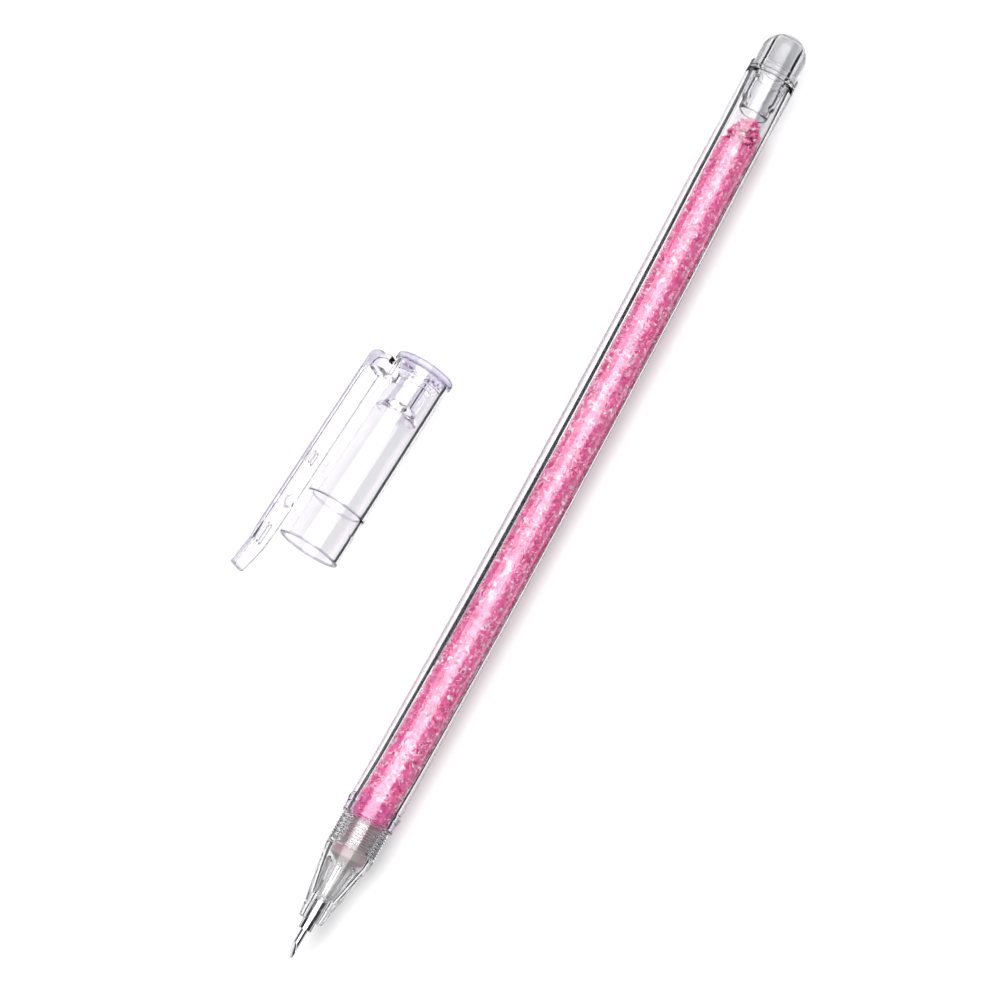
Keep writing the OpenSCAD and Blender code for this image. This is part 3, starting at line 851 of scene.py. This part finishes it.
def make_plug():
    lead_in, stem, grip, step_at, grip_at = 2.3, 2.62, BORE_R - 0.05, 138.0, 140.9
    flange_r, flange0, flange1, dome_r = 3.75, BARREL_END + 0.05, 144.2, 3.425
    hollow, hollow_end = 1.85, PEN_LEN - 1.3
    centre = PEN_LEN - dome_r
    rows = [(PLUG_FRONT, hollow + 0.1)] + arc(PLUG_FRONT + 0.35, lead_in - 0.35, 0.35, 180, 95, 6)
    rows += line(PLUG_FRONT + 0.5, lead_in, step_at - 0.1, lead_in, 3)
    rows += [(step_at + 0.1, lead_in + 0.04), (step_at + 0.4, stem - 0.04)]
    rows += line(step_at + 0.6, stem, grip_at - 0.1, stem, 4)
    rows += line(grip_at, stem + 0.01, grip_at + 0.6, grip, 4)
    rows += [(flange0 - 0.1, grip), (flange0, grip + 0.02)]
    rows += arc(flange0 + 0.3, flange_r - 0.3, 0.3, 180, 90, 6)
    rows += [(PLUG_RING - 0.08, flange_r), (PLUG_RING, flange_r - 0.12), (PLUG_RING + 0.08, flange_r)]
    rows += [(flange1 - 0.2, flange_r), (flange1 - 0.05, flange_r - 0.1)]
    rows += [(flange1, dome_r + 0.02), (flange1 + 0.05, dome_r)]
    rows += line(flange1 + 0.3, dome_r, centre, dome_r, 4)
    rows += arc(centre, 0.0, dome_r, 90, 0, 26)[1:-1]
    rows += [(PEN_LEN, 0.0)]
    inner = [(hollow_end, 0.0), (hollow_end, 0.6), (hollow_end, 1.2)]
    inner += arc(hollow_end - 0.3, hollow - 0.3, 0.3, 0, 90, 6)
    inner += line(hollow_end - 0.6, hollow, PLUG_FRONT + 0.3, hollow, 12)
    rows = rows + inner + [(PLUG_FRONT + 0.06, hollow + 0.03)]
    v, f = lathe(rows, 160)
    ob = outwards(mesh_object("tail_dome_plug", v, f, PEN_REST, 32))
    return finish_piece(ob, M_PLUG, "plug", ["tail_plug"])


# ---------- cap ----------


def make_cap_shell():
    """The tube of the cap: wide bore at the mouth with a low snap ring, a step, and a bore that narrows."""
    mouth_r, end_r, mouth_bore, bore_front, bore_back = CAP_MOUTH_R, 4.3, 3.93, 3.8, 3.5
    snap, snap_h = 4.6, 0.04
    rows = arc(0.12, mouth_bore + 0.12, 0.12, 270, 180, 4) + arc(0.15, mouth_r - 0.15, 0.15, 180, 90, 5)
    rows += line(0.4, mouth_r, CAP_LEN - 0.1, end_r, 24)
    rows += [(CAP_LEN, end_r - 0.05), (CAP_LEN, bore_back + 0.05), (CAP_LEN - 0.05, bore_back)]
    rows += line(CAP_LEN - 0.3, bore_back, CAP_STEP + 0.2, bore_front, 18)
    rows += [(CAP_STEP + 0.1, bore_front + 0.01), (CAP_STEP, bore_front + 0.06)]
    rows += [(CAP_STEP - 0.05, mouth_bore)]
    rows += line(CAP_STEP - 0.35, mouth_bore, snap + 0.3, mouth_bore, 3)
    rows += [(snap + 0.12, mouth_bore - 0.015), (snap, mouth_bore - snap_h)]
    rows += [(snap - 0.12, mouth_bore - 0.015)]
    rows += line(snap - 0.3, mouth_bore, 0.4, mouth_bore, 5)
    v, f = lathe(rows, 176)
    ob = outwards(mesh_object("cap_tube", v, f, CAP_REST, 32))
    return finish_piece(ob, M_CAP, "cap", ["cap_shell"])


def make_cap_plug():
    """The end disc with its spigot in the tube, and the flared socket that covers the needle's point."""
    disc_r, disc_t, spigot, sock, sock_bore, flare = 4.525, 1.15, 3.42, 2.35, 1.05, 3.25
    front, back = CAP_LEN - 7.2, CAP_LEN + disc_t
    rows = [(CAP_LEN - 0.4, 0.0), (CAP_LEN - 0.4, sock_bore - 0.1), (CAP_LEN - 0.5, sock_bore)]
    rows += line(CAP_LEN - 1.0, sock_bore, front + 1.7, sock_bore, 5)
    rows += line(front + 1.4, sock_bore + 0.25, front + 0.05, flare - 0.5, 4)
    rows += [(front, flare - 0.44), (front, flare - 0.08), (front + 0.06, flare - 0.01)]
    rows += line(front + 0.2, flare - 0.1, front + 1.7, sock, 4)
    rows += line(front + 2.0, sock, CAP_LEN - 1.5, sock, 3)
    rows += [(CAP_LEN - 1.4, sock + 0.08), (CAP_LEN - 1.4, spigot - 0.1), (CAP_LEN - 1.3, spigot)]
    rows += [(CAP_LEN - 0.06, spigot), (CAP_LEN + 0.02, spigot + 0.05), (CAP_LEN + 0.02, disc_r - 0.12)]
    rows += arc(CAP_LEN + 0.14, disc_r - 0.12, 0.12, 180, 90, 4)
    rows += [(back - 0.45, disc_r)]
    rows += arc(back - 0.4, disc_r - 0.4, 0.4, 90, 12, 6)
    rows += [(back + 0.08, disc_r - 0.9), (back + 0.16, disc_r - 1.8), (back + 0.2, 0.0)]
    v, f = lathe(rows, 160, closed=False)
    ob = outwards(mesh_object("cap_end_disc", v, f, CAP_REST, 32))
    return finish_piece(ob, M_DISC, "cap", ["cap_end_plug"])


def make_clip():
    """One bar swept along the cap: rounded edges, a nub inside, two pairs of raised bars outside, a web
    at its root. Rings run across it, and each point has a rim_shade value that says how much painted
    shade its tint carries: dark lines painted along its edges, round the raised bars and over its ends."""
    past, end, reach, thick = 6.95, CAP_LEN - 0.03, 7.84, 1.0
    half, tip_half, taper, web, web_in, corner = 2.3, 1.6, 7.4, 2.5, 4.48, 1.2
    nub_x, nub_r, nub_h = 11.75 - past, 0.8, 1.45
    bend, bend_len = 0.7, 4.3
    edge_r, web_edge_r, tip_r = 0.2, 0.1, 0.18
    bars = ((4.55 - past, 3.1), (17.85 - past, 1.9))
    bar_w, bars_apart, bar_h = 0.65, 1.0, 0.14
    # widths of the painted edge shade, and the painted shade value at the two ends
    top_edge_shade_w, outline_shade_w, end_rim_shade = 0.5, 0.13, 1.5

    def round_off(t):
        """Drop of a quarter circle at a share t of its radius, as a share of the radius."""
        return 1 - math.sqrt(max(0.0, 1 - t * t))

    def step_down(distance, sharpness):
        """1 inside, 0 outside, with a soft slope between."""
        return 1 / (1 + math.exp(max(-30, min(30, distance * sharpness))))

    def edge_drop(y, hw, rad):
        return rad * round_off(max(0.0, (abs(y) - (hw - rad)) / rad))

    def near_bars(x):
        return any(start - 0.3 < x < start + long + 0.3 for start, long in bars)

    def bar_distance(x, y, start, long):
        dx = max(0.0, start + bar_w / 2 - x, x - (start + long - bar_w / 2))
        return math.hypot(dx, abs(y) - bars_apart / 2) - bar_w / 2

    xs = [-past, -past + 0.06, -past + 0.2]
    x = -past + 0.45
    while x < end - web - 0.45:
        xs.append(x)
        x += 0.3 if x > nub_x + 2 and not near_bars(x) else 0.07
    xs += [end - web - 0.3 + 0.05 * i for i in range(12)]
    x = xs[-1] + 0.2
    while x < end - corner:
        xs.append(x)
        x += 0.2
    xs += [end - corner + corner * math.sin(math.radians(9 * i)) for i in range(10)]
    xs += [end - 0.03, end]
    across = [-1 + 2 * i / 60 for i in range(61)]
    verts, faces, rings, rim_shade = [], [], [], []
    for x in xs:
        hw = tip_half + (half - tip_half) * min(1.0, (x + past) / taper)
        out_by = bend * max(0.0, 1 - (x + past) / bend_len)
        outer, inner = reach + out_by, reach - thick + out_by
        end_in = tip_r * round_off(max(0.0, 1 - (x + past) / 0.2))
        w = min(1.0, max(0.0, (x - (end - web - 0.3)) / 0.55))
        inner -= (inner - web_in) * round_off(w)
        if x > end - corner:
            outer = reach - corner * round_off((x - (end - corner)) / corner)
        # the two ends of the clip are painted darker all over: painted edge shade
        at_end = x < -past + 0.25 or x > end - 0.12
        ring = []
        for u in across:
            y = u * hw
            r = outer - edge_drop(y, hw, edge_r) - end_in
            # painted shade: a lilac line painted along the top edge, and a dark outline painted round each
            # raised bar
            dark = max(0.0, min(1.0, (y - hw + top_edge_shade_w) / 0.1))
            for bar in bars:
                d = bar_distance(x, y, *bar)
                r += bar_h * step_down(d, 40)
                dark = max(dark, min(2.0, 3 * math.exp(-((d / outline_shade_w) ** 2))))
            ring.append(len(verts))
            verts.append((x, r, y))
            rim_shade.append(end_rim_shade if at_end else dark)
        for u in reversed(across):
            y = u * hw
            r = inner + edge_drop(y, hw, edge_r if w < 0.5 else web_edge_r) + end_in
            # painted shade: a lilac line painted along the lower inner edge
            dark = max(0.0, min(1.0, (0.2 - hw - y) / 0.1))
            if w < 0.01:
                r -= nub_h * step_down(math.hypot(x - nub_x, y) - nub_r, 9)
            ring.append(len(verts))
            verts.append((x, r, y))
            rim_shade.append(end_rim_shade if at_end else dark)
        rings.append(ring)
    for a, b in zip(rings, rings[1:]):
        faces += band_faces(a, b)
    faces.append(tuple(reversed(rings[0])))
    faces.append(tuple(rings[-1]))
    ob = mesh_object("clip_bar", verts, faces, CAP_REST, 40)
    # on the clip the along attribute carries the painted edge shade
    ob.data.attributes["along"].data.foreach_set("value", rim_shade)
    outwards(ob)
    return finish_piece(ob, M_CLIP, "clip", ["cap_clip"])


make_barrel()
make_holder()
make_ferrule()
make_needle()
make_nose()
make_crystals()
make_strays()
make_plug()
make_cap_shell()
make_cap_plug()
make_clip()


# ---------- floor, light and camera ----------


def stage_sheet(name, x0, x1, y0, y1, z):
    """A flat rectangle of the studio, in metres."""
    me = bpy.data.meshes.new(name)
    me.from_pydata([(x0, y0, z), (x1, y0, z), (x1, y1, z), (x0, y1, z)], [], [(0, 1, 2, 3)])
    ob = bpy.data.objects.new(name, me)
    bpy.context.scene.collection.objects.link(ob)
    return ob


FLOOR_Z, FLAG_LIFT = TABLE_Z * MM - 0.00002, 0.0002  # the floor lies just below the pen, the cards on it
mid = (cad_box[0] + cad_box[1]) / 2


def make_floor():
    half = 1.6
    floor = stage_sheet("floor", mid.x - half, mid.x + half, mid.y - half, mid.y + half, FLOOR_Z)
    m, nt, out = new_mat("floor_white")
    d = node(nt, "ShaderNodeBsdfDiffuse")
    grain = object_noise(nt, 30, 2)
    tone = ramp(nt, grain, [(0.3, (0.90, 0.90, 0.90)), (0.7, (0.915, 0.915, 0.915))])
    nt.links.new(tone, d.inputs["Color"])
    nt.links.new(d.outputs[0], out.inputs["Surface"])
    floor.data.materials.append(m)


def flag(name, x0, x1, y0, y1, place=None):
    """A black card beside a piece. Only clear and bright surfaces see it: it draws their dark edges."""
    ob = stage_sheet(name, x0, x1, y0, y1, FLOOR_Z + FLAG_LIFT)
    if place is not None:
        ob.data.transform(place)
    fm, fnt, fout = new_mat(name + "_black")
    fd = node(fnt, "ShaderNodeBsdfDiffuse")
    fd.inputs["Color"].default_value = (0.01, 0.01, 0.012, 1)
    fnt.links.new(fd.outputs[0], fout.inputs["Surface"])
    ob.data.materials.append(fm)
    ob.visible_camera = False
    ob.visible_diffuse = False
    ob.visible_shadow = False
    return ob


make_floor()
pen_x0, pen_x1 = (TIP_X - 6) * MM, (TIP_X + PEN_LEN + 6) * MM
flag("flag_left", pen_x0, pen_x1, 6.8 * MM, 15.0 * MM)
flag("flag_right", pen_x0, pen_x1, -24.0 * MM, -6.7 * MM)
cap_foot = Matrix.Translation((CAP_AT.x * MM, CAP_AT.y * MM, 0))
cap_side = cap_foot @ Matrix.Rotation(math.radians(CAP_TURN), 4, "Z")
flag("flag_cap", -3 * MM, (CAP_LEN + 4) * MM, -10.0 * MM, -6.3 * MM, cap_side)


def softbox(name, at, size, radiance, diffuse=True, glossy=True, lean=0.0, face=None):
    """A rectangular lamp. It looks down, leaned by lean degrees about X, or at the place face.
    radiance is how bright it looks (the floor is about 1)."""
    li = bpy.data.lights.new(name, "AREA")
    li.shape = "RECTANGLE"
    li.size, li.size_y = size
    li.energy = radiance * math.pi * li.size * li.size_y
    ob = bpy.data.objects.new(name, li)
    bpy.context.scene.collection.objects.link(ob)
    ob.location = at
    ob.rotation_euler = (math.radians(lean), 0, 0)
    if face is not None:
        ob.rotation_mode = "QUATERNION"
        ob.rotation_quaternion = (face - Vector(at)).to_track_quat("-Z", "Y")
    ob.visible_camera = False
    ob.visible_diffuse = diffuse
    ob.visible_glossy = glossy
    ob.visible_transmission = glossy
    return ob


# The panel that clear and bright surfaces see: its long edges are the edges of the pale band on the barrel.
panel_h = 0.45
panel_y0, panel_y1 = -0.46 * panel_h, 0.61 * panel_h
panel_at = (mid.x + 0.1, (panel_y0 + panel_y1) / 2, FLOOR_Z + panel_h)
softbox("panel", panel_at, (1.1, panel_y1 - panel_y0), 4.0, diffuse=False)
# The lamps that light the floor and the crystals: a key for the soft shadow and a wide fill above.
softbox("key", (mid.x + 0.05, 0.32, FLOOR_Z + 0.55), (0.5, 0.4), 3.0, glossy=False, lean=-28)
softbox("fill", (mid.x, 0, FLOOR_Z + 1.5), (2.4, 2.4), 2.35, glossy=False)
# A thin strip low on the right, for the fine pale line along the bore.
softbox("strip", (mid.x + 0.325, -0.6, FLOOR_Z + 0.11), (0.85, 0.03), 5.0, diffuse=False, lean=-80)
# A small card in front, which lights the needle's cut.
needle_tip = Vector((TIP_X * MM, 0, 0))
softbox("card", (-0.15, 0.225, 0.036), (0.2, 0.09), 1.5, diffuse=False, face=needle_tip)

world = bpy.data.worlds.new("studio")
world.use_nodes = True
world.node_tree.nodes["Background"].inputs["Color"].default_value = (0.9, 0.9, 0.92, 1)
world.node_tree.nodes["Background"].inputs["Strength"].default_value = 0.05
sc = bpy.context.scene
sc.world = world
sc.view_settings.view_transform = "Standard"
sc.view_settings.look = "None"
sc.cycles.max_bounces = 24
sc.cycles.transmission_bounces = 20
sc.cycles.glossy_bounces = 8
sc.cycles.diffuse_bounces = 4
sc.cycles.transparent_max_bounces = 32

VIEW_TILT, VIEW_TURN = math.radians(14.0), math.radians(62.09)
VIEW_FAR, VIEW_LENS = 0.536, 138.39
look_at = Vector((TIP_X + 69.76, 5.17, 0.0)) * MM  # a little to the cap's side of the pen's middle
away = Vector((-math.sin(VIEW_TURN), -math.cos(VIEW_TURN), 0))
cam_data = bpy.data.cameras.new("camera")
cam_data.lens = VIEW_LENS
cam_data.sensor_width = 36.0
cam = bpy.data.objects.new("camera", cam_data)
sc.collection.objects.link(cam)
cam.location = look_at + (away * math.sin(VIEW_TILT) + Vector((0, 0, math.cos(VIEW_TILT)))) * VIEW_FAR
cam.rotation_mode = "QUATERNION"
cam.rotation_quaternion = (look_at - cam.location).to_track_quat("-Z", "Y")
cam_data.clip_start, cam_data.clip_end = 0.01, 20.0
sc.camera = cam
